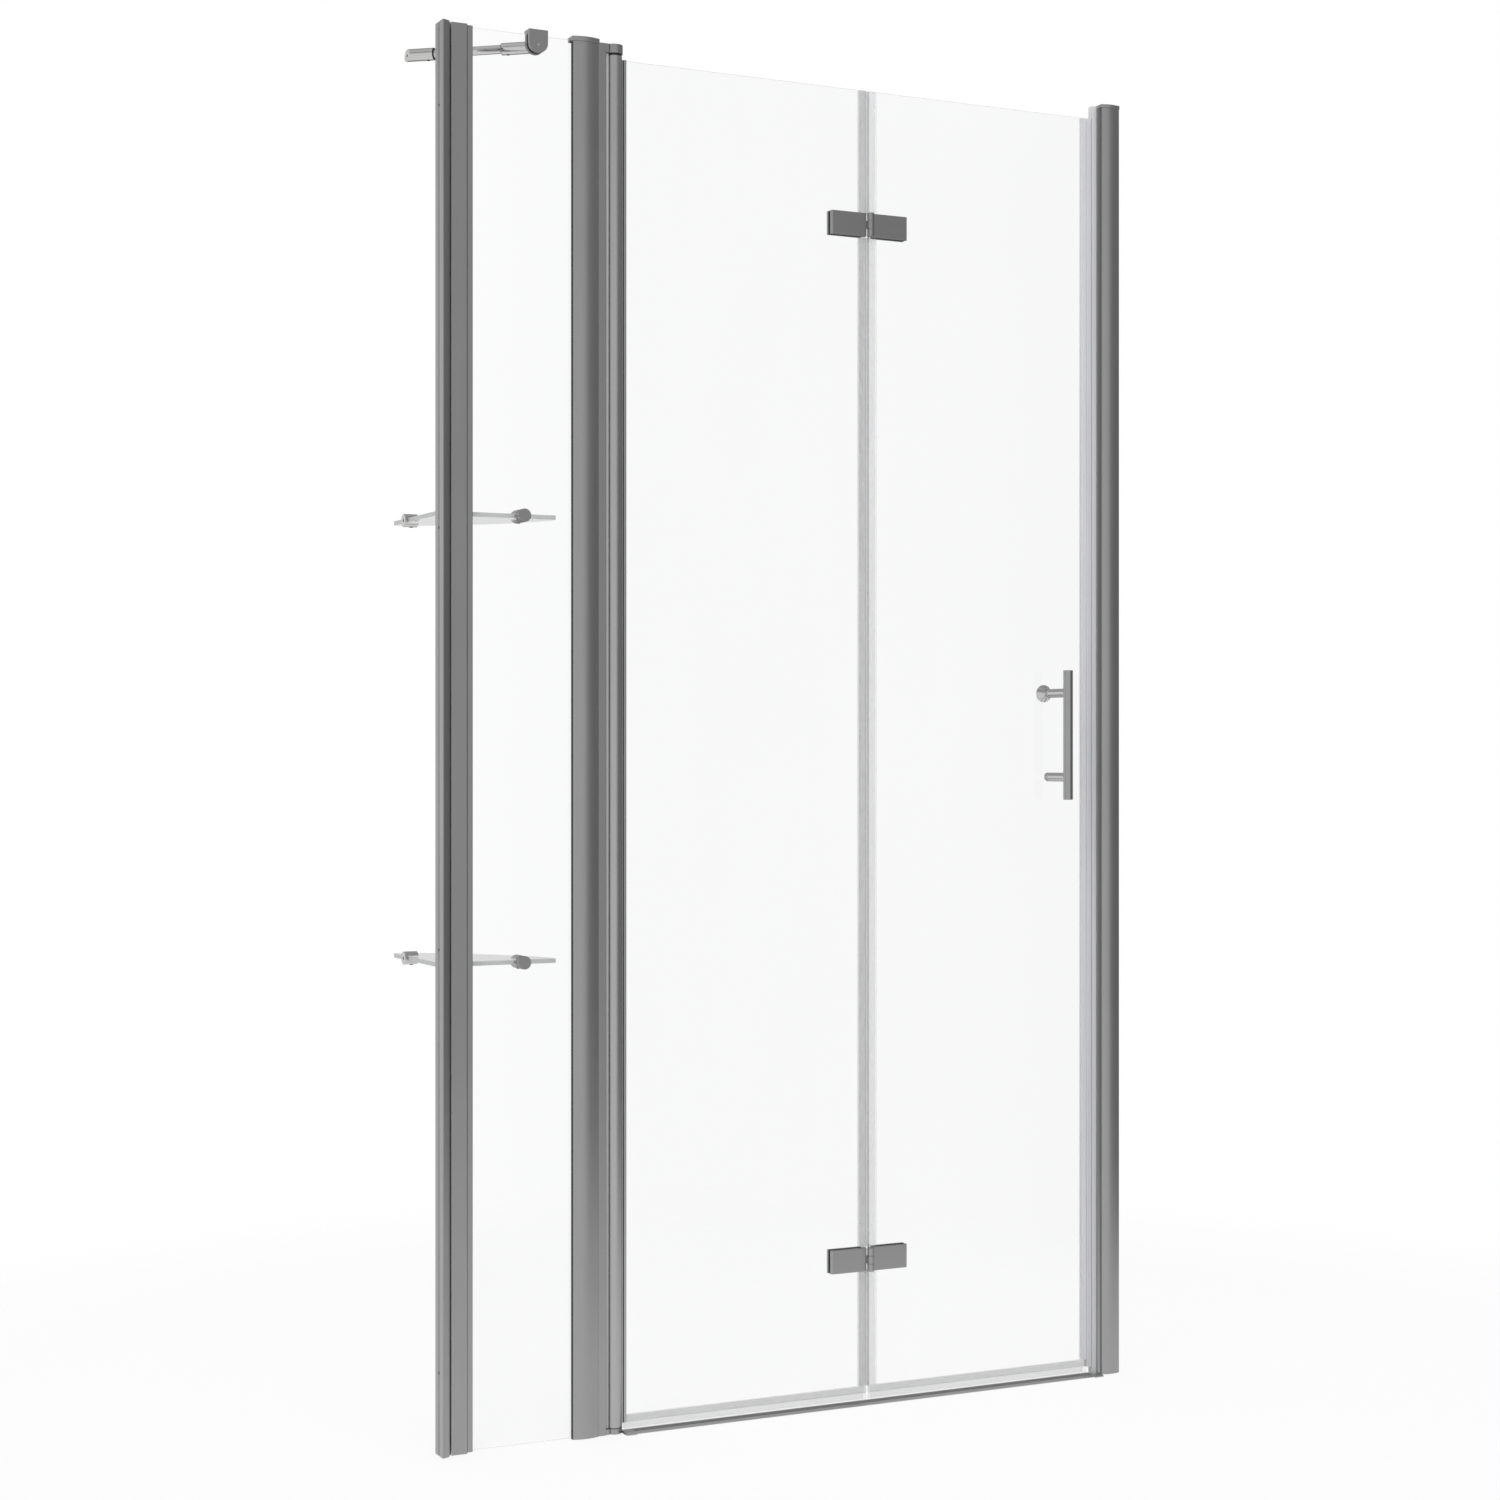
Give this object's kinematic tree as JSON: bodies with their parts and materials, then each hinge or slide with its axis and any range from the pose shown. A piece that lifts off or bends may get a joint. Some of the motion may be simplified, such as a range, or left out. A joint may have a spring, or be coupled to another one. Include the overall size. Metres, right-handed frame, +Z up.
{
  "type": "bifold shower door",
  "caption": "Bifold shower door beside a fixed glass panel with corner shelves and a support bar, closing on a magnetic wall profile.",
  "frame": {"origin": "midway between the two side walls, in the middle plane of the glass, on the shower tray under the threshold rail", "axes": "+X along the opening from the fixed panel's wall to the closing wall, +Y into the shower, +Z up"},
  "size_m": [1.075, 0.249, 1.9056],
  "materials": {
    "satin_aluminium": "satin",
    "polished_fitting": "polished",
    "screw_steel": "plain",
    "clear_glass": "clear",
    "clear_seal": "translucent",
    "clear_washer": "translucent",
    "black_rubber": "matt",
    "black_bush": "matt",
    "magnet_strip": "matt"
  },
  "bodies": {
    "frame": {"left_wall_channel": "satin_aluminium", "left_adjusting_profile": "satin_aluminium", "left_glazing_gaskets": "clear_seal", "fixed_glass": "clear_glass", "post_gaskets": "black_rubber", "middle_post": "satin_aluminium", "post_cap": "satin_aluminium", "pivot_profile": "satin_aluminium", "pivot_wiper_seal": "clear_seal", "upper_pivot_block": "polished_fitting", "lower_pivot_block": "polished_fitting", "pivot_pins": "screw_steel", "right_wall_profile": "satin_aluminium", "right_profile_cap": "satin_aluminium", "magnet_profile": "satin_aluminium", "profile_screws": "screw_steel", "wall_magnet_seal": "clear_seal", "wall_magnet_strip": "magnet_strip", "threshold_rail": "satin_aluminium", "threshold_end_caps": "satin_aluminium", "upper_shelf": "clear_glass", "lower_shelf": "clear_glass", "shelf_wall_brackets": "polished_fitting", "shelf_clamp_bodies": "polished_fitting", "shelf_clamp_caps": "polished_fitting", "shelf_clamp_washers": "clear_washer", "shelf_clamp_bolts": "screw_steel", "support_bar": "polished_fitting", "bar_wall_sleeve": "polished_fitting", "bar_wall_foot": "polished_fitting", "bar_glass_sleeve": "polished_fitting", "bar_sleeve_rings": "black_rubber", "set_screws": "black_bush", "glass_clamp": "polished_fitting", "clamp_gasket": "black_rubber", "clamp_screws": "screw_steel"},
    "inner_leaf": {"door_stile": "satin_aluminium", "stile_gaskets": "black_rubber", "pivot_bushes": "black_bush", "inner_glass": "clear_glass", "inner_centre_seal": "clear_seal", "inner_drip_seal": "clear_seal", "inner_hinge_plates": "satin_aluminium", "inner_hinge_backs": "satin_aluminium", "inner_hinge_gaskets": "black_rubber", "inner_hinge_screws": "screw_steel", "fold_pins": "screw_steel"},
    "outer_leaf": {"outer_glass": "clear_glass", "outer_centre_seal": "clear_seal", "outer_drip_seal": "clear_seal", "outer_hinge_plates": "satin_aluminium", "outer_hinge_backs": "satin_aluminium", "outer_hinge_gaskets": "black_rubber", "outer_hinge_screws": "screw_steel", "door_magnet_seal": "clear_seal", "door_magnet_strip": "magnet_strip", "handle_bar": "satin_aluminium", "handle_posts": "polished_fitting", "handle_knobs": "polished_fitting", "handle_washers": "clear_washer"}
  },
  "joints": [
    {"name": "door_pivot", "type": "hinge", "parent": "frame", "child": "inner_leaf", "pos_m": [-0.283, 0, 0.95], "axis": [0, 0, 1], "range_deg": [0, 90]},
    {"name": "fold_hinge", "type": "hinge", "parent": "inner_leaf", "child": "outer_leaf", "pos_m": [0.111, -0.0115, 0.95], "axis": [0, 0, -1], "range_deg": [0, 170]}
  ]
}
